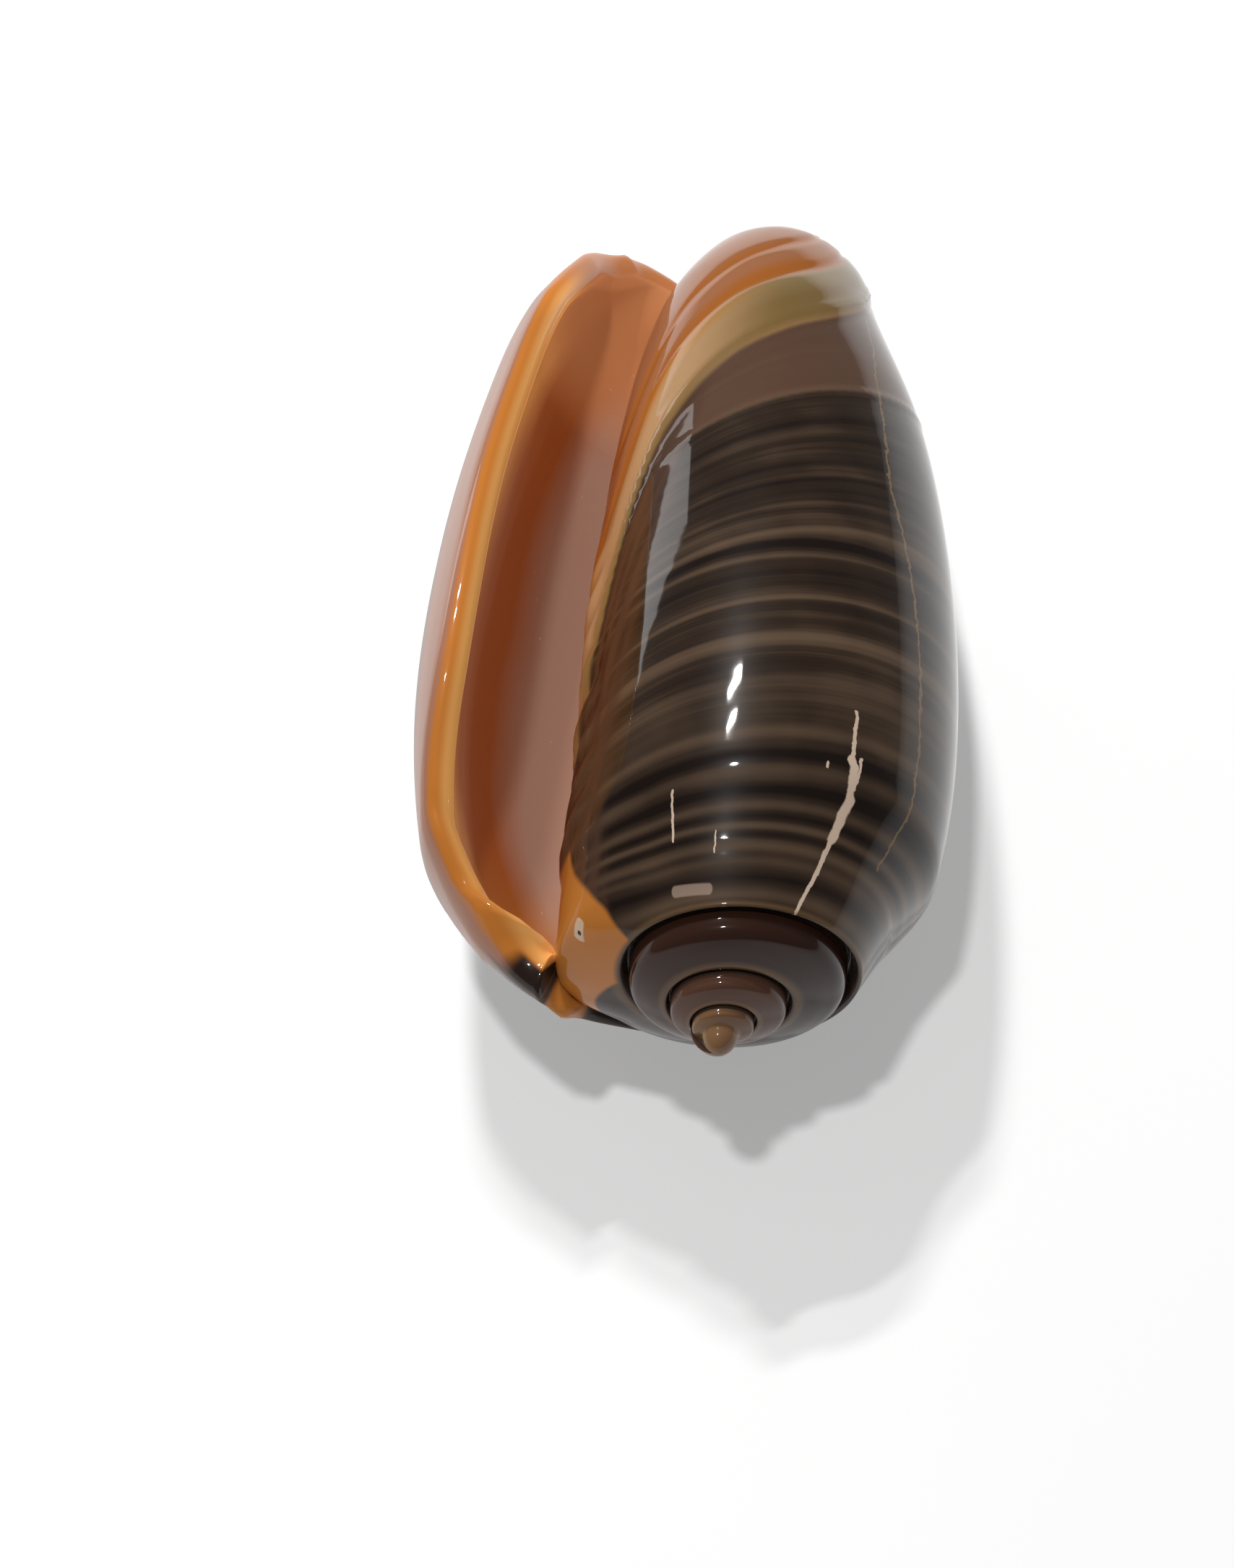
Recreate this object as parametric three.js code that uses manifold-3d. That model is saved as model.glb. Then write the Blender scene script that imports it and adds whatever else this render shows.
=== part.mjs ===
// An olive shell that lies on its back: a dextral body whorl, a low spire and a long narrow mouth.
// Units are mm, +Z is up, +Y runs along the shell from the spire to the front end.
import * as THREE from "three";
import { mergeVertices } from "three/addons/utils/BufferGeometryUtils.js";
import Module from "manifold-3d";

// Size and growth
const rimRadius = 6.4; // radius of the suture rim where the growth angle is zero
const whorlGrowth = 1.888; // how much the rim grows in one turn
const spireRise = 0.794; // distance of the rim from the tip along the axis, in rim radii
const spirePower = 0.755; // how that distance grows with the rim radius
const shellLength = 10; // from the tip to the front end, in rim radii

// Growth angles in degrees: the body whorl is the last turn
const bodyStart = -70;
const bodyEnd = 290;
const hollowTurn = 198; // how far the hollow reaches in behind the lip
const apexAngle = -1150;

// The outline of a whorl, in rim radii of that whorl, from its suture to the front end
const stationAt = [0, 0.02, 0.045, 0.055, 0.065, 0.1, 0.14, 0.3, 0.5, 0.7, 0.86, 0.95, 1];
const outlineKeys = [
  { angle: -210, radii: [1, 1.4, 1.66, 1.7, 1.71, 1.68, 1.66, 1.5, 1.38, 1.2, 1, 0.75, 0.4] },
  { angle: -60, radii: [1, 1.36, 1.58, 1.62, 1.64, 1.65, 1.63, 1.52, 1.57, 1.44, 1.17, 0.77, 0.42] },
  { angle: 0, radii: [1, 1.07, 1.15, 1.185, 1.22, 1.36, 1.51, 1.63, 1.61, 1.49, 1.2, 0.82, 0.4] },
  { angle: 120, radii: [1, 1.07, 1.15, 1.185, 1.22, 1.38, 1.56, 1.69, 1.65, 1.44, 1.08, 0.88, 0.62] },
  { angle: 210, radii: [1, 1.1, 1.25, 1.3, 1.35, 1.52, 1.61, 1.725, 1.71, 1.56, 1.25, 0.9, 0.6] },
  { angle: 270, radii: [0.99, 1.12, 1.27, 1.33, 1.38, 1.53, 1.64, 1.755, 1.735, 1.62, 1.41, 1.14, 0.62] },
  { angle: 300, radii: [0.98, 1.12, 1.27, 1.33, 1.38, 1.52, 1.645, 1.765, 1.745, 1.63, 1.45, 1.2, 0.93] },
  { angle: 330, radii: [1, 1.12, 1.25, 1.31, 1.36, 1.48, 1.59, 1.7, 1.68, 1.54, 1.35, 1.1, 0.95] },
];
const shoulderKeys = [
  { angle: -105, depths: [0, 0.14, 0.32, 0.62, 0.85] },
  { angle: -65, depths: [0, 0.08, 0.18, 0.27, 0.4] },
  { angle: 0, depths: [0, 0.18, 0.41, 0.5, 0.6] },
];
const outerFoot = 0.055; // station of the earlier whorl where the next wall begins
const innerFoot = 0.065; // station where the inside of that wall begins

// How far the front end and the rim leave their plain course, by growth angle
const frontShift = [
  [-70, 0], [120, 0], [165, -0.45], [210, -0.5], [250, -0.1], [270, 0.03],
  [287, 0.14], [298, 0.03], [308, -0.04], [318, -0.24], [326, -0.42],
];
const rimShift = [[200, 0], [240, -0.06], [270, -0.3], [290, -0.54]];
const lipAdvance = [[0, 0], [0.06, 8], [0.14, 22], [0.3, 38], [0.6, 40], [0.86, 34], [0.95, 25], [1, 8]];
const innerCourse = [[0.065, 0.02], [0.08, 0.035], [0.1, 0.06], [0.14, 0.11], [0.2, 0.19], [0.3, 0.3], [1, 1]];

// Callus pad on the earlier whorl beside the back end of the mouth
const pad = { angle: -78, turn: 30, station: 0.045, reach: 0.05, height: 0.08 };

const wallThickness = 0.27;
const lipThickness = 0.3;

// How the shell lies
const pitchAngle = -3; // front end down
const flatDepth = 0.32; // how much is worn off at the lowest spot of the back

// Mesh steps
const stepsPerTurn = 40;
const edgeRows = 4;

const smooth = (x) => {
  const t = Math.min(1, Math.max(0, x));
  return t * t * (3 - 2 * t);
};

// A curve through points [x, y] that keeps level outside them.
function curve(points, x) {
  const last = points.length - 1;
  if (x <= points[0][0]) return points[0][1];
  if (x >= points[last][0]) return points[last][1];
  const k = points.findIndex((p) => p[0] > x) - 1;
  const slope = (i) => {
    const low = points[Math.max(0, i - 1)];
    const high = points[Math.min(last, i + 1)];
    return (high[1] - low[1]) / (high[0] - low[0]);
  };
  const width = points[k + 1][0] - points[k][0];
  const t = (x - points[k][0]) / width;
  const rise = points[k + 1][1] - points[k][1];
  const bend = t * (1 - t) * ((1 - t) * (slope(k) * width - rise) - t * (slope(k + 1) * width - rise));
  return points[k][1] + rise * t + bend;
}

const rimAt = (angle) => whorlGrowth ** (angle / 360);
const rimDepth = (angle) => spireRise * rimAt(angle) ** spirePower + curve(rimShift, angle);

// Radius and distance along the axis of the outer surface, at a growth angle and a station.
function outline(angle, station) {
  const grown = rimAt(angle);
  const radii = outlineKeys.map((key) => [
    key.angle,
    curve(key.radii.map((r, i) => [stationAt[i], r]), station),
  ]);
  const depths = shoulderKeys.map((key) => [
    key.angle,
    curve(key.depths.map((d, i) => [stationAt[i], d]), Math.min(station, innerFoot)),
  ]);
  const shoulder = rimDepth(angle) + Math.min(1, grown) * curve(depths, angle);
  const front = shellLength + curve(frontShift, angle);
  const along = shoulder + (front - shoulder) * Math.max(0, (station - innerFoot) / (1 - innerFoot));
  const across = Math.hypot((angle - pad.angle) / pad.turn, (station - pad.station) / pad.reach);
  return [grown * curve(radii, angle) + pad.height * smooth(1 - across), along];
}

// The suture channel between the earlier whorl and the rim, as steps from its foot up to the crest,
// and the tongue of callus that fills it beside the back end of the mouth.
const channel = [[0.91, 0.2], [0.94, 0.1], [0.97, 0.015]];
const tongueCourse = [[0.885, 0], [0.925, -0.055], [0.965, -0.05]];
const tongue = { from: 258, full: 277, to: 288 };

const place = (angle, radius, along) => {
  const turn = THREE.MathUtils.degToRad(angle - 30);
  return new THREE.Vector3(radius * Math.sin(turn), along, radius * Math.cos(turn));
};

// Stations of the mesh rows
const rows = [
  0, 0.01, 0.02, 0.033, 0.045,
  ...Array.from({ length: edgeRows + 1 }, (_, i) => outerFoot + ((innerFoot - outerFoot) * i) / edgeRows),
  0.08, 0.1, 0.12, 0.14, 0.18, 0.23, 0.3, 0.38, 0.46, 0.54, 0.62, 0.7, 0.77, 0.83, 0.88, 0.92, 0.95, 0.975, 0.99, 1,
];
const footRow = rows.indexOf(outerFoot);
const innerRow = footRow + edgeRows;
const topRow = rows.length - 1;

const growthAngle = (turn, station) => turn + curve(lipAdvance, station) * smooth((turn - 190) / 100);

// A point of the outer surface: rows below zero lie in the suture channel.
function outer(turn, row) {
  if (row < 0 && turn - 360 < apexAngle) {
    const rise = ((row + channel.length + 1) / (channel.length + 1)) * (Math.PI / 2);
    return place(turn, rimAt(turn) * Math.sin(rise), rimDepth(turn) * (1 - Math.cos(rise)));
  }
  if (row === -channel.length - 1) return outer(turn - 360, footRow);
  if (row < 0) {
    const [openRadius, openDepth] = channel[channel.length + row];
    const [fullRadius, fullDepth] = tongueCourse[channel.length + row];
    const grown = rimAt(turn);
    const rising = smooth((turn - tongue.from) / (tongue.full - tongue.from));
    const filled = rising * smooth((tongue.to - turn) / (tongue.to - tongue.full));
    const radius = openRadius + (fullRadius - openRadius) * filled;
    const depth = openDepth + (fullDepth - openDepth) * filled;
    return place(turn, radius * grown, rimDepth(turn) + depth * grown);
  }
  const angle = growthAngle(turn, rows[row]);
  const [radius, along] = outline(angle, rows[row]);
  return place(angle, radius, along);
}

// A point of the inside of the last wall, which runs into the earlier whorl at its blind end.
function inner(turn, row) {
  if (row <= innerRow) return outer(turn - 360, innerRow);
  const station = curve(innerCourse, rows[row]);
  const angle = growthAngle(turn, station);
  const [r0, a0] = outline(angle, Math.max(0, station - 0.004));
  const [r1, a1] = outline(angle, Math.min(1, station + 0.004));
  const [radius, along] = outline(angle, station);
  const length = Math.hypot(r1 - r0, a1 - a0);
  const thickness = wallThickness + (lipThickness - wallThickness) * smooth((turn - 240) / 50);
  const open = smooth((turn - (bodyEnd - hollowTurn)) / 50);
  const wall = place(angle, radius - (thickness * (a1 - a0)) / length, along + (thickness * (r1 - r0)) / length);
  const pillar = outer(turn - 360, row);
  const foot = outer(turn - 360, innerRow);
  const near = smooth((rows[row] - innerFoot) / 0.03);
  return pillar.lerp(foot.lerp(wall, near), open);
}

const triangles = [];
function patch(columns, count, at, inward) {
  const grid = columns.map((c) => Array.from({ length: count + 1 }, (_, i) => at(c, i)));
  for (let c = 0; c < columns.length - 1; c += 1) {
    for (let i = 0; i < count; i += 1) {
      const a = grid[c][i];
      const b = grid[c + 1][i];
      const d = grid[c][i + 1];
      const e = grid[c + 1][i + 1];
      triangles.push(...(inward ? [a, e, b, a, d, e] : [a, b, e, a, e, d]));
    }
  }
}

const step = 360 / stepsPerTurn;
const turns = (from, to) =>
  Array.from({ length: Math.round((to - from) / step) + 1 }, (_, i) => from + i * step);
const hollowStart = bodyEnd - hollowTurn;
const below = channel.length + 1;

// Outside of the body whorl, the spire, and the pillar inside the mouth
patch(turns(bodyStart, bodyEnd), topRow + below, (turn, i) => outer(turn, i - below), false);
patch(turns(apexAngle, bodyStart), footRow + below, (turn, i) => outer(turn, i - below), false);
patch(turns(hollowStart - 360, bodyStart), topRow - innerRow, (turn, i) => outer(turn, i + innerRow), false);
// Inside of the wall
patch(turns(hollowStart, bodyEnd), topRow - innerRow, (turn, i) => inner(turn, i + innerRow), true);

// Rounded edges: round the lip, and round the front end
function edge(turn, row, w) {
  const from = outer(turn, row);
  const to = inner(turn, Math.max(row, innerRow));
  const angle = THREE.MathUtils.degToRad(growthAngle(turn, rows[Math.max(0, row)]) - 30);
  const forward = new THREE.Vector3(Math.cos(angle), 0, -Math.sin(angle));
  const share = smooth((rows[Math.max(0, row)] - 0.86) / 0.14);
  const late = smooth((turn - 250) / 40);
  const lean = row === topRow ? late : 1;
  const out = forward.multiplyScalar(lean).add(new THREE.Vector3(0, row === topRow ? 1 : share, 0)).normalize();
  const bulge = 0.45 * from.distanceTo(to) * Math.sin(Math.PI * w);
  const even = (1 - Math.cos(Math.PI * w)) / 2;
  return from.clone().lerp(to, even).addScaledVector(out, bulge);
}
function lipEdge(row, i) {
  if (row === -below) return outer(bodyStart, footRow + i);
  if (i === 0) return outer(bodyEnd, row);
  if (i === edgeRows) return inner(bodyEnd, Math.max(row, innerRow));
  return edge(bodyEnd, row, i / edgeRows);
}
patch(
  Array.from({ length: topRow + below + 1 }, (_, i) => i - below),
  edgeRows,
  lipEdge,
  true,
);
const frontEdge = (turn, i) => {
  if (i === 0) return outer(turn, topRow);
  if (i === edgeRows) return inner(turn, topRow);
  return edge(turn, topRow, i / edgeRows);
};
patch(turns(hollowStart, bodyEnd), edgeRows, frontEdge, false);

// Start of the first whorl
const nucleus = Array.from({ length: footRow + below + 1 }, (_, i) => outer(apexAngle, i - below));
for (let i = 1; i < nucleus.length - 1; i += 1) triangles.push(nucleus[0], nucleus[i], nucleus[i + 1]);

// End of the pillar
const loop = [
  ...turns(bodyStart, hollowStart).map((turn) => outer(turn, topRow)),
  ...Array.from({ length: edgeRows - 1 }, (_, i) => frontEdge(hollowStart, i + 1)),
  ...turns(hollowStart - 360, bodyStart).map((turn) => outer(turn, topRow)),
];
const centre = loop.reduce((sum, p) => sum.add(p), new THREE.Vector3()).divideScalar(loop.length);
centre.y = shellLength + 0.12;
patch(
  Array.from({ length: loop.length }, (_, i) => i),
  4,
  (c, i) => {
    const w = (i / 4) * (Math.PI / 2);
    const p = loop[c];
    return new THREE.Vector3(
      centre.x + (p.x - centre.x) * Math.cos(w),
      p.y + (centre.y - p.y) * Math.sin(w),
      centre.z + (p.z - centre.z) * Math.cos(w),
    );
  },
  false,
);

// One closed mesh in millimetres
const positions = triangles.flatMap((p) => [p.x * rimRadius, p.y * rimRadius, p.z * rimRadius]);
const soup = new THREE.BufferGeometry();
soup.setAttribute("position", new THREE.Float32BufferAttribute(positions, 3));
const geometry = mergeVertices(soup, 1e-3);
const kept = [];
for (let i = 0; i < geometry.index.count; i += 3) {
  const [a, b, c] = [0, 1, 2].map((k) => geometry.index.getX(i + k));
  if (a !== b && b !== c && c !== a) kept.push(a, b, c);
}
geometry.setIndex(kept);

geometry.rotateX(THREE.MathUtils.degToRad(pitchAngle));
geometry.computeBoundingBox();
const box = geometry.boundingBox;
geometry.translate(-(box.min.x + box.max.x) / 2, -(box.min.y + box.max.y) / 2, -box.min.z - flatDepth);

// The flat resting spot
const wasm = await Module();
wasm.setup();
const whole = new wasm.Manifold(
  new wasm.Mesh({
    numProp: 3,
    vertProperties: geometry.attributes.position.array,
    triVerts: new Uint32Array(geometry.index.array),
  }),
);
const cut = whole.trimByPlane([0, 0, 1], 0).getMesh();
const finished = new THREE.BufferGeometry();
finished.setAttribute("position", new THREE.Float32BufferAttribute(cut.vertProperties, 3));
finished.setIndex(Array.from(cut.triVerts));
finished.computeVertexNormals();

const material = new THREE.MeshStandardMaterial({ color: 0x4a3826, roughness: 0.18, metalness: 0 });
const shell = new THREE.Mesh(finished, material);
shell.name = "shell";

const group = new THREE.Group();
group.add(shell);
export default group;
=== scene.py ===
import bisect
import functools
import math

import bmesh
import bpy
from mathutils import Euler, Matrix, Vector


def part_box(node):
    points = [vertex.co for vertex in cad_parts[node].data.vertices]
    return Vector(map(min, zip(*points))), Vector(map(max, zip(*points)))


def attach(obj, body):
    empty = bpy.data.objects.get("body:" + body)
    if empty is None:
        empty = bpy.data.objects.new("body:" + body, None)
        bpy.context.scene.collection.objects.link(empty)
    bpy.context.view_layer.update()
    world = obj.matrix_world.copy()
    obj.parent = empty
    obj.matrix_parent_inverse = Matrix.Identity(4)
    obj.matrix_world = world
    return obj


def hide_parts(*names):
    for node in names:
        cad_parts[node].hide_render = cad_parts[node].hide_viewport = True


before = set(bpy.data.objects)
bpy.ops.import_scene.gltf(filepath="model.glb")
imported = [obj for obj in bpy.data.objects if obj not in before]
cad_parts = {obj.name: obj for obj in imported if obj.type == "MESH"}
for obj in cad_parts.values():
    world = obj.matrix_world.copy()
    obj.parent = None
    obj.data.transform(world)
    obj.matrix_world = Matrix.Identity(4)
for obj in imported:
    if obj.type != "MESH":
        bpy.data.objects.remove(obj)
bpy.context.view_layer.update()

solidLow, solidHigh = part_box("shell")

# The coil of the shell. Lengths are in rim radii of the suture, angles in degrees of growth
coil = {
    "rimRadius": 0.0064,  # metres
    "whorlGrowth": 1.888,
    "spireRise": 0.794,
    "spirePower": 0.755,
    "length": 10,
    "bodyStart": -70,
    "bodyEnd": 290,
    "hollowTurn": 198,
    "apexAngle": -1150,
    "outerFoot": 0.055,
    "innerFoot": 0.065,
    "footFade": 0.03,
    "advances": (190, 100),  # where the lip begins to run ahead of its course, and over how many degrees
    "wall": 0.27,
    "lip": 0.3,
    "thickens": (240, 50),  # from the wall's thickness to the lip's
    "opens": 50,  # degrees from the blind end of the hollow to its full width
    "slopeStep": 0.004,
    "edgeBulge": 0.45,  # of the wall's thickness
    "edgeTurnsOut": (250, 40),
    "edgeTurnsForward": (0.86, 0.14),
    "upAngle": 30,  # growth angle that points straight up
    "plainBefore": -110,
    "plainBehind": 1.2,
    "pitch": -3,
    "flatDepth": 0.00032,  # metres
    "weld": 1e-4,
    "sliver": 1e-5,
    "step": 1.8,  # degrees of growth from one column of the mesh to the next
    "channelRows": 6,
    "shoulderRows": 14,
    "edgeRows": 8,
    "wallRows": 140,
    "domeRows": 8,
    "domeHeight": 0.12,
}

# Radii of a whorl from its suture to its front end
stationAt = [0, 0.02, 0.045, 0.055, 0.065, 0.1, 0.14, 0.3, 0.5, 0.7, 0.86, 0.95, 1]
outlineKeys = {
    -210: [1, 1.4, 1.66, 1.7, 1.71, 1.68, 1.66, 1.5, 1.38, 1.2, 1, 0.75, 0.4],
    -60: [1, 1.36, 1.58, 1.62, 1.64, 1.65, 1.63, 1.52, 1.57, 1.44, 1.17, 0.77, 0.42],
    0: [1, 1.07, 1.15, 1.185, 1.22, 1.36, 1.51, 1.63, 1.61, 1.49, 1.2, 0.82, 0.4],
    120: [1, 1.07, 1.15, 1.185, 1.22, 1.38, 1.56, 1.69, 1.65, 1.44, 1.08, 0.88, 0.62],
    210: [1, 1.1, 1.25, 1.3, 1.35, 1.52, 1.61, 1.725, 1.71, 1.56, 1.25, 0.9, 0.6],
    270: [0.99, 1.12, 1.27, 1.33, 1.38, 1.53, 1.64, 1.755, 1.735, 1.62, 1.41, 1.14, 0.62],
    300: [0.98, 1.12, 1.27, 1.33, 1.38, 1.52, 1.645, 1.765, 1.745, 1.63, 1.45, 1.2, 0.93],
    330: [1, 1.12, 1.25, 1.31, 1.36, 1.48, 1.59, 1.7, 1.68, 1.54, 1.35, 1.1, 0.95],
}
shoulderKeys = {
    -105: [0, 0.14, 0.32, 0.62, 0.85],
    -65: [0, 0.08, 0.18, 0.27, 0.4],
    0: [0, 0.18, 0.41, 0.5, 0.6],
}


def levelCurve(points):  # a smooth curve through points (x, y) that keeps level outside them
    xs = [x for x, y in points]
    ys = [y for x, y in points]
    last = len(points) - 1
    slopes = []
    for i in range(last + 1):
        low, high = max(0, i - 1), min(last, i + 1)
        slopes.append((ys[high] - ys[low]) / (xs[high] - xs[low]))

    def at(x):
        if x <= xs[0]:
            return ys[0]
        if x >= xs[last]:
            return ys[last]
        k = bisect.bisect_right(xs, x) - 1
        width = xs[k + 1] - xs[k]
        rise = ys[k + 1] - ys[k]
        t = (x - xs[k]) / width
        early, late = slopes[k] * width - rise, slopes[k + 1] * width - rise
        return ys[k] + rise * t + t * (1 - t) * ((1 - t) * early - t * late)

    return at


def smooth(x):
    t = min(1, max(0, x))
    return t * t * (3 - 2 * t)


def fade(x, start, over):  # 0 up to start, 1 from start + over
    return smooth((x - start) / over)


def within(x, low, fadeIn, high, fadeOut):  # 1 between low and high, and fading to 0 at both
    return fade(x, low, fadeIn) * smooth((high - x) / fadeOut)


# How far the front end and the rim leave their plain course, by growth angle
frontShift = levelCurve([
    (-70, 0), (120, 0), (165, -0.45), (210, -0.5), (250, -0.1), (270, 0.03), (287, 0.14), (298, 0.03),
    (308, -0.04), (318, -0.24), (326, -0.42),
])
rimShift = levelCurve([(200, 0), (240, -0.06), (270, -0.3), (290, -0.54)])
# By station: how many degrees the lip runs ahead, and which station the inside follows
lipAdvance = levelCurve([(0, 0), (0.06, 8), (0.14, 22), (0.3, 38), (0.6, 40), (0.86, 34), (0.95, 25), (1, 8)])
innerCourse = levelCurve([
    (0.065, 0.02), (0.08, 0.035), (0.1, 0.06), (0.14, 0.11), (0.2, 0.19), (0.3, 0.3), (1, 1),
])
# Callus pad on the earlier whorl beside the back end of the mouth
pad = {"angle": -78, "turn": 30, "station": 0.045, "reach": 0.05, "height": 0.08}
channelCourse = [(0.91, 0.2), (0.94, 0.1), (0.97, 0.015)]  # radius and depth beside the rim
tongueCourse = [(0.885, 0.0), (0.925, -0.055), (0.965, -0.05)]  # the same where the callus fills the channel
tongueTurns = (258, 19, 288, 11)  # as within() takes them


def curveAt(keys, station):  # the values of keyed outlines at one station, as a curve by growth angle
    courses = [(angle, levelCurve(list(zip(stationAt, values)))) for angle, values in keys.items()]
    return levelCurve([(angle, course(station)) for angle, course in courses])


@functools.lru_cache(maxsize=None)
def radiusAt(station):
    return curveAt(outlineKeys, station)


@functools.lru_cache(maxsize=None)
def depthAt(station):
    return curveAt(shoulderKeys, station)


def rimAt(angle):
    return coil["whorlGrowth"] ** (angle / 360)


def rimDepth(angle):
    return coil["spireRise"] * rimAt(angle) ** coil["spirePower"] + rimShift(angle)


# Spiral lines of the body whorl run forward as they grow: how fast, by where they cross growth angle zero
lineSlope = levelCurve([
    (0.9, 0.15), (1.5, 0.155), (2, 0.185), (3.5, 0.185), (4, 0.17), (4.2, 0.215), (5.8, 0.256), (6.45, 0.355),
    (8, 0.4),
])
# The back edge of the callused front end, as distance along the axis by growth angle
callusEdge = levelCurve([
    (-50, 2.7), (-40, 3.25), (-30, 3.85), (-20, 4.6), (-10, 5.5), (0, 6.15), (20, 6.9), (40, 7.38),
    (60, 7.82), (80, 8.38), (100, 9), (120, 9.6), (150, 10.4),
])
callusSpread = levelCurve([(-40, 0.55), (0, 0.8), (60, 1), (120, 1.05)])  # its stripes fan out as it grows
# Folds of the mouth's wall: how far they lie apart, how they lean, and where they are, as within() takes it
folds = {
    "pitch": 0.42,
    "height": 0.06,
    "lean": 0.016,
    "level": -45,
    "angles": (-85, 15, -24, 14),
    "alongs": (1.55, 0.3, 6, 1.5),
}
# Ridges and, below zero, grooves of the callus: reach past its edge, half width and height
frontRidges = [
    (0.02, 0.05, 0.02), (0.13, 0.04, 0.014), (0.24, 0.05, 0.012), (1.02, 0.14, -0.016), (1.62, 0.16, -0.014),
]
callusAngles = (-75, 30, 140, 40)
callusStep = {"height": 0.035, "width": 0.14, "thins": (0.5, 0.6), "thinsBy": 0.7}
fineRidge = {"line": 5.765, "slope": 1.474, "width": 0.05, "height": 0.012, "angles": (-20, 30, 260, 60)}


def spiralLine(angle, along):  # where the spiral line through this point crosses growth angle zero
    line = along
    for _ in range(4):
        line = along / (1 + lineSlope(line) * max(angle, coil["plainBefore"]) / 100)
    return line


def callusReach(angle, along):  # distance in front of the edge of the callus
    return (along - callusEdge(angle)) * callusSpread(angle)


def bump(x, width):
    return smooth(1 - abs(x) / width)


def relief(angle, along):  # low ridges and folds of the outer surface
    if angle < coil["plainBefore"] or along < coil["plainBehind"]:
        return 0
    reach = callusReach(angle, along)
    height = sum(size * bump(reach - at, width) for at, width, size in frontRidges)
    thinned = 1 - callusStep["thinsBy"] * fade(reach, *callusStep["thins"])
    height += callusStep["height"] * smooth(reach / callusStep["width"]) * thinned
    height *= within(angle, *callusAngles)
    line = fineRidge["line"] + fineRidge["slope"] * angle / 100
    shown = within(angle, *fineRidge["angles"])
    height += fineRidge["height"] * bump(along - line, fineRidge["width"]) * shown
    across = (along - folds["lean"] * (angle - folds["level"])) / folds["pitch"]
    held = within(angle, *folds["angles"]) * within(along, *folds["alongs"])
    return height + folds["height"] * held * abs(math.sin(math.pi * across))


def outline(angle, station):  # radius and distance along the axis of the outer surface
    grown = rimAt(angle)
    shoulder = rimDepth(angle) + min(1, grown) * depthAt(min(station, coil["innerFoot"]))(angle)
    front = coil["length"] + frontShift(angle)
    forward = max(0, (station - coil["innerFoot"]) / (1 - coil["innerFoot"]))
    along = shoulder + (front - shoulder) * forward
    across = math.hypot((angle - pad["angle"]) / pad["turn"], (station - pad["station"]) / pad["reach"])
    radius = grown * radiusAt(station)(angle) + pad["height"] * smooth(1 - across)
    return radius + relief(angle, along), along


def place(angle, radius, along):
    turn = math.radians(angle - coil["upAngle"])
    return Vector((radius * math.sin(turn), along, radius * math.cos(turn)))


def spread(low, high, count, bias=0.0):  # count + 1 values, closer together near low where bias is above zero
    return [low + (high - low) * ((1 - bias) * i / count + bias * (i / count) ** 2) for i in range(count + 1)]


footRow = coil["shoulderRows"]
innerRow = footRow + coil["edgeRows"]
stations = spread(0, coil["outerFoot"], coil["shoulderRows"])[:-1]
stations += spread(coil["outerFoot"], coil["innerFoot"], coil["edgeRows"])[:-1]
stations += [1 - s for s in spread(0, 1 - coil["innerFoot"], coil["wallRows"], 0.45)][::-1]
topRow = len(stations) - 1
below = coil["channelRows"]


def growthAngle(turn, station):
    return turn + lipAdvance(station) * fade(turn, *coil["advances"])


def turnBefore(turn):  # the place one turn earlier
    return round(turn - 360, 4)


def channel(turn, row):  # a point of the suture channel, which the tongue of the callus fills near the lip
    grown = rimAt(turn)
    filled = within(turn, *tongueTurns)
    course = []
    for (r0, d0), (r1, d1) in zip(channelCourse, tongueCourse):
        radius, depth = r0 + (r1 - r0) * filled, d0 + (d1 - d0) * filled
        course.append(place(turn, radius * grown, rimDepth(turn) + depth * grown))
    course = [outer(turnBefore(turn), footRow)] + course + [outer(turn, 0)]
    reach = (row + below) / below * (len(course) - 1)
    return Vector([levelCurve([(i, p[axis]) for i, p in enumerate(course)])(reach) for axis in range(3)])


@functools.lru_cache(maxsize=None)
def outer(turn, row):  # a point of the outer surface: rows below zero lie in the suture channel
    if row < 0 and turn - 360 < coil["apexAngle"]:
        rise = (row + below) / below * math.pi / 2
        return place(turn, rimAt(turn) * math.sin(rise), rimDepth(turn) * (1 - math.cos(rise)))
    if row == -below:
        return outer(turnBefore(turn), footRow)
    if row < 0:
        return channel(turn, row)
    angle = growthAngle(turn, stations[row])
    return place(angle, *outline(angle, stations[row]))


@functools.lru_cache(maxsize=None)
def inner(turn, row):  # a point inside the last wall, which meets the earlier whorl at its blind end
    before = turnBefore(turn)
    if row <= innerRow:
        return outer(before, innerRow)
    station = innerCourse(stations[row])
    angle = growthAngle(turn, station)
    r0, a0 = outline(angle, round(max(0, station - coil["slopeStep"]), 5))
    r1, a1 = outline(angle, round(min(1, station + coil["slopeStep"]), 5))
    radius, along = outline(angle, round(station, 5))
    length = math.hypot(r1 - r0, a1 - a0)
    thickness = coil["wall"] + (coil["lip"] - coil["wall"]) * fade(turn, *coil["thickens"])
    wall = place(angle, radius - thickness * (a1 - a0) / length, along + thickness * (r1 - r0) / length)
    opened = fade(turn, coil["bodyEnd"] - coil["hollowTurn"], coil["opens"])
    near = fade(stations[row], coil["innerFoot"], coil["footFade"])
    return outer(before, row).lerp(outer(before, innerRow).lerp(wall, near), opened)


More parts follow.
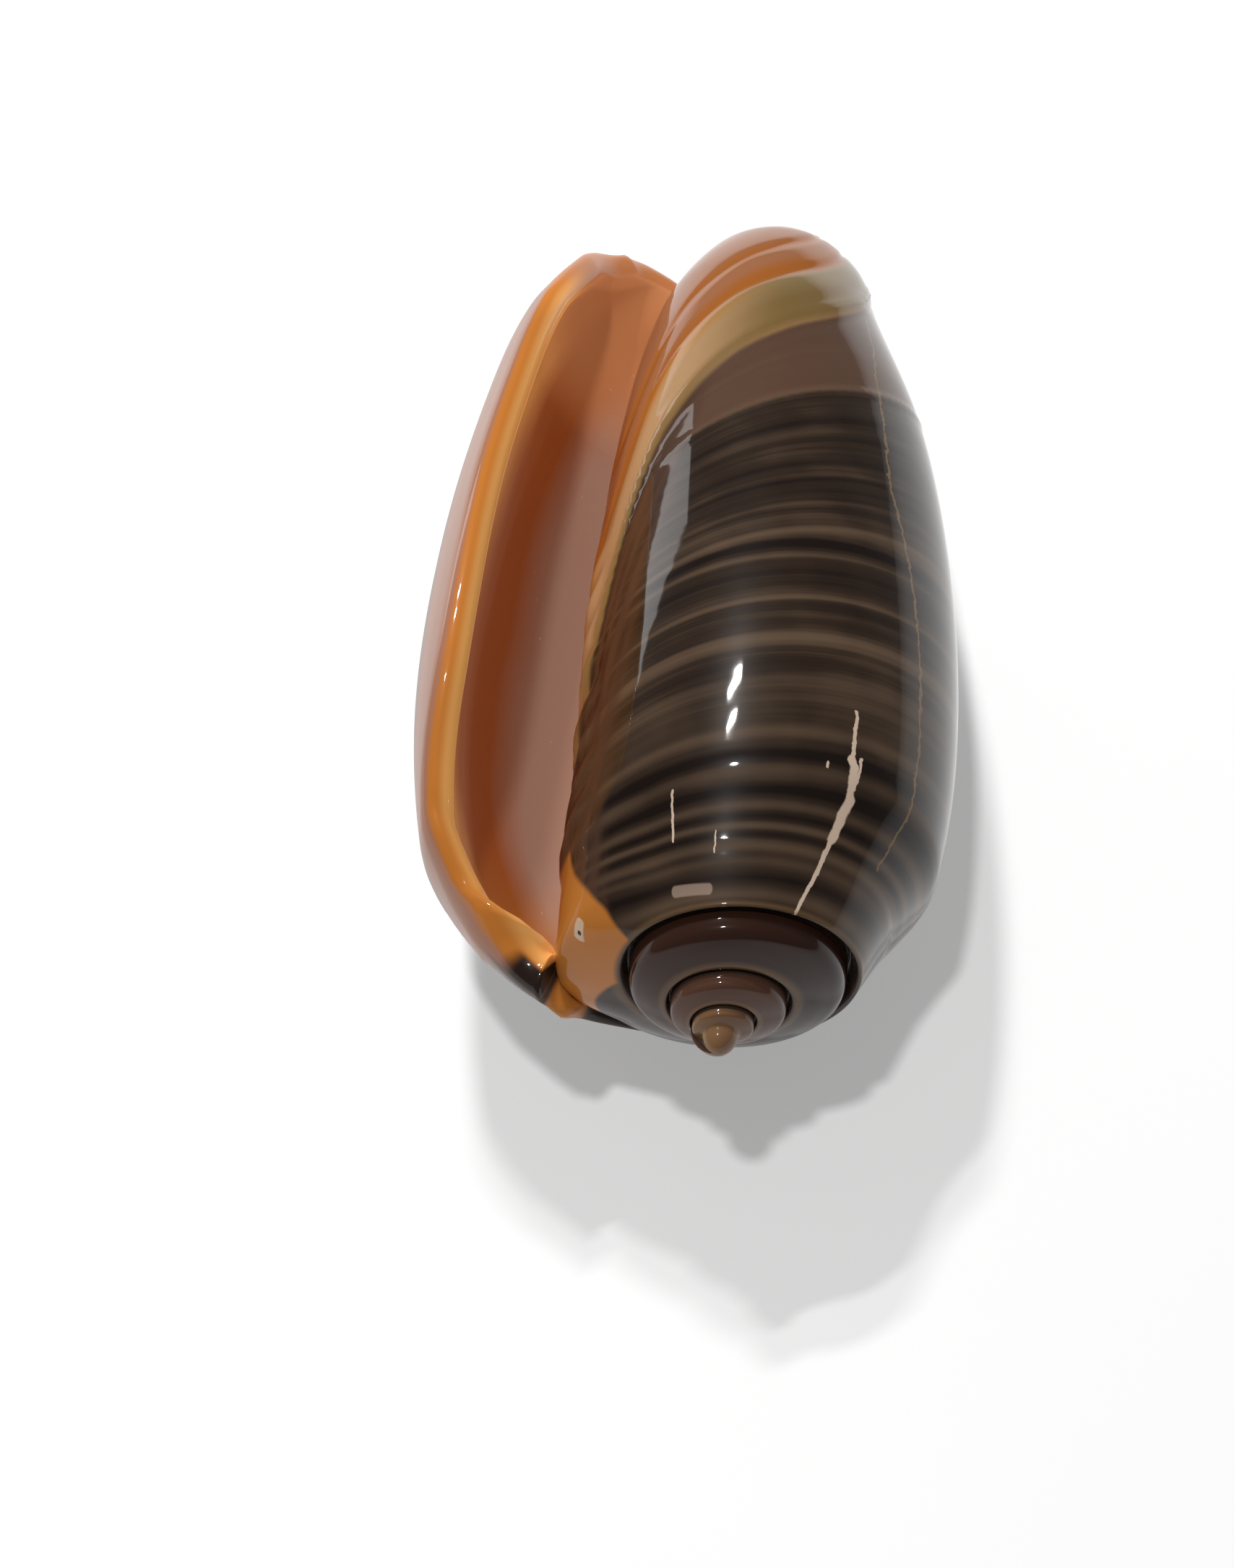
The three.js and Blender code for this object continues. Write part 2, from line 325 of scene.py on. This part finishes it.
def edge(turn, row, share):  # the rounded edge between the outside and the inside of the wall
    start, end = outer(turn, row), inner(turn, max(row, innerRow))
    station = stations[max(0, row)]
    angle = math.radians(growthAngle(turn, station) - coil["upAngle"])
    lean = fade(turn, *coil["edgeTurnsOut"]) if row == topRow else 1
    front = 1 if row == topRow else fade(station, *coil["edgeTurnsForward"])
    out = (Vector((math.cos(angle), 0, -math.sin(angle))) * lean + Vector((0, front, 0))).normalized()
    bulge = coil["edgeBulge"] * (start - end).length * math.sin(math.pi * share)
    return start.lerp(end, (1 - math.cos(math.pi * share)) / 2) + out * bulge


def lipEdge(row, i):
    if row == -below:
        return outer(coil["bodyStart"], footRow + i)
    if i == 0:
        return outer(coil["bodyEnd"], row)
    if i == coil["edgeRows"]:
        return inner(coil["bodyEnd"], max(row, innerRow))
    return edge(coil["bodyEnd"], row, i / coil["edgeRows"])


def frontEdge(turn, i):
    if i == 0:
        return outer(turn, topRow)
    if i == coil["edgeRows"]:
        return inner(turn, topRow)
    return edge(turn, topRow, i / coil["edgeRows"])


def turns(low, high):
    return [round(low + i * coil["step"], 4) for i in range(round((high - low) / coil["step"]) + 1)]


def addPatch(bm, columns, rows, point, growth, side, inward=False):
    # A grid whose x runs along columns and y along rows, with maps that say where on the shell a point is
    made = bmesh.ops.create_grid(bm, x_segments=len(columns) - 1, y_segments=len(rows) - 1, size=0.5)
    maps = [bm.loops.layers.uv[name] for name in mapNames]
    spots = {}
    for v in made["verts"]:
        column = columns[round((v.co.x + 0.5) * (len(columns) - 1))]
        row = rows[round((v.co.y + 0.5) * (len(rows) - 1))]
        v.co = point(column, row)
        turn, angle, station = growth(column, row)
        back = (coil["bodyEnd"] - turn) / 360
        bands = spiralLine(angle, v.co.y), callusReach(angle, v.co.y)
        spots[v] = ((angle / 360, v.co.y), (back, side(column, row)), bands, (station, 0))
    faces = list({f for v in made["verts"] for f in v.link_faces})
    for f in faces:
        for loop in f.loops:
            for uvMap, spot in zip(maps, spots[loop.vert]):
                loop[uvMap].uv = spot
    if inward:
        bmesh.ops.reverse_faces(bm, faces=faces)


def growthOf(turn, row):  # turn, growth angle and station, which is below zero in the suture channel
    station = stations[max(0, row)]
    inChannel = row < 0 and turn - 360 >= coil["apexAngle"]
    return turn, growthAngle(turn, station), row / below if inChannel else station


# growth: growth angle in turns, and distance along the axis. wall: turns back from the lip, and the side of
# the wall, from 0 outside to 1 inside. lines: the spiral line, and reach past the edge of the callus
mapNames = ["growth", "wall", "lines", "course"]


def makeShell():
    bm = bmesh.new()
    for name in mapNames:
        bm.loops.layers.uv.new(name)
    start, end = coil["bodyStart"], coil["bodyEnd"]
    hollow = end - coil["hollowTurn"]
    allRows, wallRows = list(range(-below, topRow + 1)), list(range(innerRow, topRow + 1))
    edgeSteps = list(range(coil["edgeRows"] + 1))

    def outside(turn, row):
        return 0

    def inside(turn, row):
        return 1

    def roundEdge(column, i):
        return i / coil["edgeRows"]

    addPatch(bm, turns(start, end), allRows, outer, growthOf, outside)
    addPatch(bm, turns(coil["apexAngle"], start), list(range(-below, footRow + 1)), outer, growthOf, outside)
    addPatch(bm, turns(hollow - 360, start), wallRows, outer, growthOf, outside)
    addPatch(bm, turns(hollow, end), wallRows, inner, growthOf, inside, inward=True)
    addPatch(bm, allRows, edgeSteps, lipEdge, lambda row, i: growthOf(end, row), roundEdge, inward=True)
    addPatch(bm, turns(hollow, end), edgeSteps, frontEdge, lambda turn, i: growthOf(turn, topRow), roundEdge)
    addPillarEnd(bm, start, hollow)
    addNucleus(bm)
    bmesh.ops.remove_doubles(bm, verts=bm.verts, dist=coil["weld"])
    bmesh.ops.dissolve_degenerate(bm, edges=bm.edges, dist=coil["sliver"])
    return bm


def addPillarEnd(bm, start, hollow):  # the domed front end of the pillar, a grid from its rim to its middle
    loop = [(turn, outer(turn, topRow)) for turn in turns(start, hollow)]
    loop += [(hollow, frontEdge(hollow, i)) for i in range(1, coil["edgeRows"])]
    loop += [(turn, outer(turn, topRow)) for turn in turns(hollow - 360, start)]
    centre = sum((p for turn, p in loop), Vector()) / len(loop)
    centre.y = coil["length"] + coil["domeHeight"]

    def dome(column, row):
        w = row / coil["domeRows"] * math.pi / 2
        p = loop[column][1]
        flat = centre.lerp(Vector((p.x, centre.y, p.z)), math.cos(w))
        return Vector((flat.x, p.y + (centre.y - p.y) * math.sin(w), flat.z))

    def growth(column, row):
        return loop[column][0], loop[column][0], 1

    columns, rows = list(range(len(loop))), list(range(coil["domeRows"] + 1))
    addPatch(bm, columns, rows, dome, growth, lambda column, row: 0)


def addNucleus(bm):  # closes the start of the first whorl
    first = coil["apexAngle"]
    rim = [outer(first, row) for row in range(-below, footRow + 1)]

    def fan(i, row):
        return rim[i].lerp(rim[0], row)

    addPatch(bm, list(range(len(rim))), [0, 1], fan, lambda i, row: (first, first, 0), lambda i, row: 0)


def settle(bm):  # to metres, turned as it lies, its flat spot down
    bmesh.ops.scale(bm, vec=(coil["rimRadius"],) * 3, verts=bm.verts)
    turned = Euler((math.radians(coil["pitch"]), 0, 0)).to_matrix()
    bmesh.ops.rotate(bm, matrix=turned, verts=bm.verts)
    middle = (solidLow + solidHigh) / 2
    low = [min(v.co[axis] for v in bm.verts) for axis in range(3)]
    high = [max(v.co[axis] for v in bm.verts) for axis in range(3)]
    shift = [middle[axis] - (low[axis] + high[axis]) / 2 for axis in range(2)]
    shift.append(solidLow.z - low[2] - coil["flatDepth"])
    bmesh.ops.translate(bm, vec=shift, verts=bm.verts)
    for v in bm.verts:
        v.co.z = max(v.co.z, solidLow.z)
    return Vector(shift)


def finishPiece(bm, name, material):
    mesh = bpy.data.meshes.new(name)
    bm.to_mesh(mesh)
    bm.free()
    mesh.polygons.foreach_set("use_smooth", [True] * len(mesh.polygons))
    mesh.materials.append(material)
    piece = bpy.data.objects.new(name, mesh)
    bpy.context.scene.collection.objects.link(piece)
    return piece


view = {  # as the photograph was taken, from above the spire
    "fromTip": (0.00344178, -0.07855057, 0.14164474),  # metres
    "turn": (34.3605, 1.4409, 3.95),  # degrees
    "lens": 66.5006,
    "clip": (0.01, 10),
}


def addCamera(tip):
    data = bpy.data.cameras.new("camera")
    data.lens = view["lens"]
    data.clip_start, data.clip_end = view["clip"]
    camera = bpy.data.objects.new("camera", data)
    camera.location = tip + Vector(view["fromTip"])
    camera.rotation_euler = [math.radians(a) for a in view["turn"]]
    bpy.context.scene.collection.objects.link(camera)
    bpy.context.scene.camera = camera


# Lights aimed at a point in the shell. at: azimuth from the front end to the right, elevation and distance
lightAim = Vector((0, 0, 0.012))
lights = {
    "lampHigh": {"at": (-27, 65, 0.5), "shape": "ELLIPSE", "size": (0.045, 0.014), "power": 0.65, "roll": 0},
    "lampLow": {"at": (-22, 59.5, 0.5), "shape": "ELLIPSE", "size": (0.06, 0.018), "power": 0.7, "roll": 0},
    "lampBehind": {"at": (-150, 77, 0.5), "shape": "DISK", "size": (0.03, 0.03), "power": 0.9, "roll": 0},
    "window": {"at": (-53, 7.5, 0.25), "shape": "RECTANGLE", "size": (0.2, 0.04), "power": 0.08, "roll": -42},
}


def addLight(name, lamp):
    data = bpy.data.lights.new(name, "AREA")
    data.shape = lamp["shape"]
    data.size, data.size_y = lamp["size"]
    data.energy = lamp["power"]
    azimuth, elevation, distance = lamp["at"]
    turn, rise = math.radians(azimuth), math.radians(elevation)
    way = Vector((math.sin(turn) * math.cos(rise), math.cos(turn) * math.cos(rise), math.sin(rise)))
    light = bpy.data.objects.new(name, data)
    light.location = way * distance + lightAim
    facing = way.to_track_quat("Z", "Y").to_matrix()
    light.rotation_euler = (facing @ Euler((0, 0, math.radians(lamp["roll"]))).to_matrix()).to_euler()
    bpy.context.scene.collection.objects.link(light)


floorSize = 2
floorLook = {
    "Base Color": (0.75, 0.75, 0.75, 1),
    "Roughness": 0.8,
    "Emission Color": (1, 1, 1, 1),
    "Emission Strength": 0.32,
}


def addFloor():
    bm = bmesh.new()
    bmesh.ops.create_grid(bm, x_segments=1, y_segments=1, size=floorSize)
    paper = bpy.data.materials.new("paleFloor")
    paper.use_nodes = True
    for key, value in floorLook.items():
        paper.node_tree.nodes["Principled BSDF"].inputs[key].default_value = value
    floor = finishPiece(bm, "floor", paper)


worldLook = {"Color": (1, 1, 1, 1), "Strength": 0.13}


def addWorld():
    world = bpy.data.worlds.new("studio")
    world.use_nodes = True
    for key, value in worldLook.items():
        world.node_tree.nodes["Background"].inputs[key].default_value = value
    bpy.context.scene.world = world
    bpy.context.scene.view_settings.view_transform = "Standard"


class Value:  # a socket that works in Python expressions, where each operator adds a Math node
    def __init__(self, tree, socket=None):
        self.tree, self.socket = tree, socket

    def node(self, kind, settings=None, values=None, output=0):  # settings first, then values or links
        made = self.tree.nodes.new(kind)
        for key, setting in (settings or {}).items():
            if key == "stops":
                fillRamp(made.color_ramp, setting)
            else:
                setattr(made, key, setting)
        for key, value in (values or {}).items():
            if isinstance(value, Value):
                self.tree.links.new(value.socket, made.inputs[key])
            else:
                made.inputs[key].default_value = value
        return Value(self.tree, made.outputs[output])

    def maths(self, operation, *values):
        return self.node("ShaderNodeMath", {"operation": operation}, dict(enumerate(values)))

    def __add__(self, other):
        return self.maths("ADD", self, other)

    def __sub__(self, other):
        return self.maths("SUBTRACT", self, other)

    def __rsub__(self, other):
        return self.maths("SUBTRACT", other, self)

    def __mul__(self, other):
        return self.maths("MULTIPLY", self, other)

    def __truediv__(self, other):
        return self.maths("DIVIDE", self, other)

    __radd__ = __add__
    __rmul__ = __mul__

    def rise(self, low, high):  # 0 at low to 1 at high, smoothly, and the other way if low is above high
        values = {"Value": self, "From Min": low, "From Max": high}
        return self.node("ShaderNodeMapRange", {"interpolation_type": "SMOOTHSTEP"}, values)

    def near(self, at, width):  # 1 at a place, fading to 0 a width away
        return self.maths("ABSOLUTE", self - at).rise(width, 0)

    def most(self, other):
        return self.maths("MAXIMUM", self, other)

    def least(self, other):
        return self.maths("MINIMUM", self, other)

    def ramp(self, stops):
        return self.node("ShaderNodeValToRGB", {"stops": stops}, {0: self})

    def noise(self, vector, scale, detail=2.0, rough=0.5):
        values = {"Vector": vector, "Scale": scale, "Detail": detail, "Roughness": rough}
        return self.node("ShaderNodeTexNoise", None, values)

    def join(self, x, y, z=0.0):
        return self.node("ShaderNodeCombineXYZ", None, {0: x, 1: y, 2: z})


def named(stops):  # stops of a colour ramp given by the names of their colours
    return [(at, glaze[colour]) for at, colour in stops]


def fillRamp(ramp, stops):
    while len(ramp.elements) < len(stops):
        ramp.elements.new(1)
    for element, (position, colour) in zip(ramp.elements, stops):
        element.position = position
        element.color = (*colour, 1)


def blend(factor, first, second):  # two colours or colour links mixed
    values = {0: factor}
    for socket, colour in ((6, first), (7, second)):
        values[socket] = colour if isinstance(colour, Value) else (*colour, 1)
    return factor.node("ShaderNodeMix", {"data_type": "RGBA"}, values, output=2)


glaze = {
    "dark": (0.009, 0.0045, 0.003),
    "brown": (0.03, 0.0175, 0.011),
    "pale": (0.09, 0.056, 0.034),
    "grey": (0.14, 0.095, 0.06),
    "purple": (0.13, 0.068, 0.042),
    "umber": (0.25, 0.17, 0.07),
    "tan": (0.3, 0.17, 0.07),
    "redBrown": (0.075, 0.036, 0.022),
    "cream": (0.5, 0.3, 0.15),
    "olive": (0.19, 0.115, 0.035),
    "yellow": (0.5, 0.22, 0.05),
    "orange": (0.38, 0.115, 0.016),
    "salmon": (0.36, 0.145, 0.065),
    "lipPink": (0.42, 0.19, 0.115),
    "lipOrange": (0.6, 0.2, 0.03),
    "lipFront": (0.42, 0.15, 0.05),
    "lipFrontOutside": (0.32, 0.11, 0.04),
    "insideFront": (0.5, 0.2, 0.08),
    "gold": (0.85, 0.4, 0.11),
    "rust": (0.4, 0.1, 0.02),
    "mauve": (0.44, 0.255, 0.185),
    "pad": (0.48, 0.17, 0.03),
    # painted shade for the canal at the back end of the lip
    "canalShade": (0.02, 0.01, 0.007),
    "chalk": (0.62, 0.44, 0.3),
    "scratch": (0.62, 0.47, 0.36),
    "blotch": (0.5, 0.36, 0.28),
    # painted shade of the suture channel
    "channel": (0.045, 0.028, 0.02),
}
# Tone of the body whorl, from 0 dark to 1 pale
tones = {"base": 0.34, "frontDarker": 0.08, "clouds": 0.5, "bands": 0.34, "bandSpread": 1.25, "wander": 0.07}
toneStops = [(0, "dark"), (0.3, "brown"), (0.62, "pale"), (1, "grey")]
# The spire from its tip, by share of its growth
spireStops = [
    (0, (0.16, 0.09, 0.055)), (0.08, (0.22, 0.12, 0.05)), (0.2, (0.13, 0.06, 0.035)),
    (0.4, (0.1, 0.045, 0.028)), (0.62, (0.05, 0.02, 0.012)), (0.8, (0.022, 0.008, 0.005)),
]
spireTurns = 3.4
# Bands of the body whorl: spiral line, half width, and how pale or, below zero, how dark
bands = [
    (0.9, 0.06, 0.7), (1.04, 0.07, -0.8), (1.17, 0.04, 0.3), (1.29, 0.05, 0.7), (1.375, 0.035, -0.8),
    (1.44, 0.035, 0.8), (1.51, 0.04, -0.9), (1.59, 0.04, 0.6), (1.7, 0.06, -1.2), (1.83, 0.06, 0.6),
    (1.955, 0.07, -1.3), (2.15, 0.08, 0.6), (2.46, 0.05, 0.4), (2.61, 0.07, 0.6), (2.81, 0.07, -0.35),
    (3.04, 0.16, 0.85), (3.34, 0.07, -0.35), (3.48, 0.045, 0.75), (3.75, 0.2, -0.5), (3.98, 0.04, 0.65),
    (4.085, 0.045, -1.4), (4.19, 0.04, 1.0), (4.46, 0.06, 0.45), (4.74, 0.04, -0.5), (5.15, 0.25, 0.2),
    (5.8, 0.06, 0.9),
]
# Marks as strokes between points of growth angle and distance along the axis, with half widths
scratches = [
    ((67.5, 2.72), (68.1, 2.24), 0.018), ((68.1, 2.24), (71.6, 1.9), 0.04),
    ((70.9, 2.27), (71.4, 2.0), 0.014), ((71.6, 1.9), (71.2, 1.6), 0.05),
    ((71.2, 1.6), (69.5, 1.28), 0.028), ((69.5, 1.28), (64.5, 0.89), 0.022),
    ((10, 1.82), (8.3, 1.43), 0.013), ((26.2, 1.48), (25.6, 1.3), 0.008),
    ((60.7, 2.13), (60.7, 2.09), 0.014),
]
blotch = ((7.5, 0.995), (23.5, 0.985), 0.05)
pit = ((-38.5, 0.985), (-44, 0.905), 0.032)
pitDot = ((-41.8, 0.93), (-42.6, 0.92), 0.012)
# An old edge of the lip, which crosses the bands as a fine brown line
oldLip = [(95, 1.6), (91, 2.97), (88, 3.8), (84, 4.66), (77, 5.66), (76, 7.2), (81, 8.3)]
oldLipWidth = 0.014


def stroke(angle, along, start, end, width):  # 1 on a stroke between two points, 0 off it
    scale = 10.7  # rim radii round the shell in one turn
    x0, y0, x1, y1 = start[0] / 360 * scale, start[1], end[0] / 360 * scale, end[1]
    length = (x1 - x0) ** 2 + (y1 - y0) ** 2
    x, y = angle * scale - x0, along - y0
    share = (x * ((x1 - x0) / length) + y * ((y1 - y0) / length)).most(0).least(1)
    dx, dy = x - share * (x1 - x0), y - share * (y1 - y0)
    return (dx * dx + dy * dy).rise(width * width * 1.5, width * width * 0.6)


def strokes(angle, along, marks):  # 1 on any of several strokes
    made = [stroke(angle, along, *mark) for mark in marks]
    return functools.reduce(Value.most, made)


def bodyColour(angle, line, spot):
    threads = angle.noise(angle.join(angle * 1.1, line * 8), 1, 3, 0.6)
    cloud = angle.noise(spot, 190, 2, 0.5)
    wander = angle.noise(angle.join(angle * 3, line * 1.5), 1, 1)
    shifted = line + (wander - 0.5) * tones["wander"]
    diffuse = line.rise(2.1, 2.9)
    base = tones["base"] - line.rise(4.2, 4.6) * tones["frontDarker"]
    tone = (threads - 0.5) * (diffuse * 0.75 + 0.25) + (cloud - 0.5) * tones["clouds"] + base
    for at, width, strength in bands:
        tone = tone + shifted.near(at, width * tones["bandSpread"]) * (strength * tones["bands"])
    return tone.ramp(named(toneStops))


# Stripes of the callus from its edge forward, where it begins and where it has spread
earlyStripes = [
    (0, "olive"), (0.06, "tan"), (0.12, "cream"), (0.3, "cream"), (0.42, "yellow"), (0.5, "orange"),
    (0.62, "salmon"), (0.78, "orange"), (0.9, "salmon"),
]
lateStripes = [
    (0, "tan"), (0.06, "olive"), (0.24, "olive"), (0.42, "umber"), (0.49, "orange"), (0.55, "orange"),
    (0.66, "salmon"), (0.78, "orange"), (0.86, "salmon"),
]
stripesReach = 2.1


def callusColour(angle, reach):
    wander = reach + (angle.noise(angle.join(angle * 2, reach * 3), 1) - 0.5) * 0.12
    share = wander / stripesReach
    return blend(angle.rise(-0.01, 0.12), share.ramp(named(earlyStripes)), share.ramp(named(lateStripes)))


# Bands of the mouth from the lip inwards, by share of the part of a turn that they take
insideStops = [(0, "gold"), (0.42, "gold"), (0.52, "rust"), (0.66, "rust"), (0.8, "mauve")]
insideTurn = 0.16


def insideColour(back, along, spot):
    shift = back + (back.noise(spot, 60) - 0.5) * 0.014
    bandsIn = (shift / insideTurn).ramp(named(insideStops))
    atBack, atFront = along.rise(3, 1.3), along.rise(8, 9.3)
    return blend(atFront, blend(atBack, bandsIn, glaze["pad"]), glaze["insideFront"])


def bodyWhorl(angle, along, line, reach, station, spot):
    body = bodyColour(angle, line, spot)
    # Smooth purple band between the fine ridge and the callus
    ahead = along - angle * (fineRidge["slope"] * 360 / 100)
    front = ahead.rise(fineRidge["line"] - 0.03, fineRidge["line"] + 0.06)
    body = blend(front * angle.rise(-0.1, 0.02) * 0.75, body, glaze["purple"])
    # Reddish brown beside the mouth, in streaks that run with the folds
    parietal = (angle * 360 - (along - 2) * 7).rise(-14, -24)
    streaks = angle.noise(angle.join(angle * 4, (along - angle * 27) * 3.2), 1, 3)
    body = blend(parietal * streaks.rise(0.2, 0.6), body, glaze["redBrown"])
    callus = reach.rise(-0.03, 0.05) * station.rise(0.1, 0.2)
    colour = blend(callus, body, callusColour(angle, reach))
    # Old scratches, an old edge of the lip and a pale blotch
    rough = (angle.noise(spot, 1500, 3) - 0.5) * 0.06
    colour = blend(strokes(angle + rough * 0.1, along + rough, scratches), colour, glaze["scratch"])
    seam = [(start, end, oldLipWidth) for start, end in zip(oldLip, oldLip[1:])]
    colour = blend(strokes(angle + rough * 0.16, along, seam) * 0.55, colour, glaze["tan"])
    return blend(stroke(angle, along, *blotch) * 0.45, colour, glaze["blotch"])


def spire(colour, angle, station):  # browner and paler towards the tip, with a tan rim
    whorls = (angle / spireTurns + 1).ramp(spireStops)
    earlier, shoulder = angle.rise(-0.05, -0.2), station.rise(0.075, 0.06)
    rim, inChannel = station.near(0.002, 0.006), station.rise(-0.02, -0.2)
    colour = blend(earlier * shoulder, colour, whorls)
    colour = blend(rim * 0.3, colour, glaze["tan"])
    # Painted shade: the suture channel is filled with a flat dark brown
    return blend(inChannel, colour, glaze["channel"])


def mouth(colour, angle, along, back, side, station, spot):  # the pillar, the lip and the inside
    pillar = angle.rise(-0.14, -0.17) * station.rise(0.08, 0.12)
    colour = blend(pillar, colour, glaze["mauve"])
    # A pink rim outside the lip
    outerLip = back.rise(0.05, 0.02) * station.rise(0.02, 0.06) * angle.rise(0.5, 0.6)
    outside = blend(along.rise(7.8, 8.8), glaze["lipPink"], glaze["lipFrontOutside"])
    colour = blend(outerLip, colour, outside)
    # The rounded edge of the lip, from pink outside through orange to gold inside
    lip = blend(side.rise(0.16, 0.3), glaze["lipPink"], glaze["lipOrange"])
    lip = blend(side.rise(0.4, 0.62), lip, glaze["gold"])
    lip = blend(along.rise(8.2, 9.2), lip, glaze["lipFront"])
    colour = blend(side.rise(0, 0.12), colour, lip)
    colour = blend(side.rise(0.9, 1), colour, insideColour(back, along, spot))
    # Painted shade: the canal at the back end of the lip is painted black
    paintedCanalShade = side.rise(0.02, 0.08) * side.rise(0.5, 0.4) * station.rise(0.036, 0.02)
    return blend(paintedCanalShade, colour, glaze["canalShade"])


def callusPad(colour, angle, along, side, station):  # with its tongue across the suture and its pit
    edgeAngle = station.rise(0.03, 0.115) * -0.036 - 0.073
    shape = (angle - edgeAngle).rise(0.004, -0.004) * angle.rise(-0.27, -0.25)
    shape = shape * (station - (angle * -1 - 0.18).most(0) * 0.35).rise(0, 0.004) * station.rise(0.13, 0.12)
    degrees = angle * 360
    tongueShape = degrees.rise(263, 267) * degrees.rise(288, 285) * station.rise(-0.05, -0.15)
    mask = shape.most(tongueShape) * (1 - side.rise(0, 0.1))
    colour = blend(mask, colour, glaze["pad"])
    colour = blend(stroke(angle, along, *pit) * mask, colour, glaze["chalk"])
    return blend(stroke(angle, along, *pitDot) * mask, colour, glaze["brown"])


def dusted(colour, back, side, spot):  # dust specks in the mouth
    dust = back.node("ShaderNodeTexVoronoi", {"feature": "F1"}, {"Vector": spot, "Scale": 700.0})
    specks = dust.rise(0.075, 0.05) * side.rise(0.98, 1) * back.rise(0.1, 0.13)
    return blend(specks * 0.6, colour, glaze["chalk"])


bumpLook = {"Strength": 1.0, "Distance": 0.00002}


def undulation(angle, along, side, station):  # low spiral waves outside, which make the reflections waver
    waves = angle.noise(angle.join(angle * 1.5, along * 2.6 - angle * 3), 1, 1, 0.4)
    growthLines = angle.noise(angle.join(angle * 60, along * 0.6), 1, 2)
    height = (waves + growthLines * 0.12) * (1 - side.rise(0, 0.1)) * station.rise(0.01, 0.06)
    return angle.node("ShaderNodeBump", None, {**bumpLook, "Height": height})


# Emission Strength scales the painted glow in the mouth
gloss = {"Specular IOR Level": 0.27, "Coat Roughness": 0.34, "Emission Strength": 0.5}
# Roughness and coat of the glaze, and how far early whorls and the dull outside of the lip differ
shine = {"rough": 0.05, "dullRougher": 0.25, "coat": 0.14, "earlyLess": 0.08, "dullLess": 0.05}
# Painted glow: emission of the shell's own colour, which lifts the shade in the mouth: inside, added beside
# the lip, and at the front lobe
paintedGlow = {"inside": 0.45, "besideLip": 0.5, "lobe": 0.7}


def shellFinish():
    material = bpy.data.materials.new("shellGlaze")
    material.use_nodes = True
    tree = material.node_tree
    shader = tree.nodes["Principled BSDF"]
    make = Value(tree)

    def mapValue(name):
        uv = make.node("ShaderNodeUVMap", {"uv_map": name})
        return [make.node("ShaderNodeSeparateXYZ", None, {0: uv}, output=i) for i in range(2)]

    (angle, along), (back, side), (line, reach), (station, _) = [mapValue(name) for name in mapNames]
    spot = make.node("ShaderNodeTexCoord", None, None, output=3)
    colour = bodyWhorl(angle, along, line, reach, station, spot)
    colour = spire(colour, angle, station)
    colour = mouth(colour, angle, along, back, side, station, spot)
    colour = callusPad(colour, angle, along, side, station)
    colour = dusted(colour, back, side, spot)

    # The outside of the lip and its front end are duller
    late = angle.rise(0.5, 0.6)
    dull = (1 - side.rise(0.02, 0.12)).most(along.rise(8.2, 8.8)) * late
    # Painted glow: the shaded front lobe and the inside of the mouth give off their own base colour as
    # emission
    lobeGlowMask = along.rise(7.6, 8.8) * late * side.rise(0, 0.3)
    paintedGlowMask = side.rise(0.5, 1) * (back.rise(0.04, 0.015) * paintedGlow["besideLip"] + paintedGlow["inside"])
    links = {
        "Base Color": colour,
        "Roughness": dull * shine["dullRougher"] + shine["rough"],
        "Coat Weight": shine["coat"] - angle.rise(0.1, -0.1) * shine["earlyLess"] - dull * shine["dullLess"],
        "Emission Color": blend(paintedGlowMask.most(lobeGlowMask * paintedGlow["lobe"]), (0, 0, 0), colour),
        "Normal": undulation(angle, along, side, station),
    }
    for key, value in links.items():
        tree.links.new(value.socket, shader.inputs[key])
    for key, value in gloss.items():
        shader.inputs[key].default_value = value
    return material


bm = makeShell()
tip = settle(bm)
print("shell grown:", len(bm.verts), "points,", len(bm.faces), "faces")
shell = finishPiece(bm, "oliveShell", shellFinish())
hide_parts("shell")
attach(shell, "root")

addFloor()
addCamera(tip)
addWorld()
for name, lamp in lights.items():
    addLight(name, lamp)
print("stage set:", len(lights), "lights")
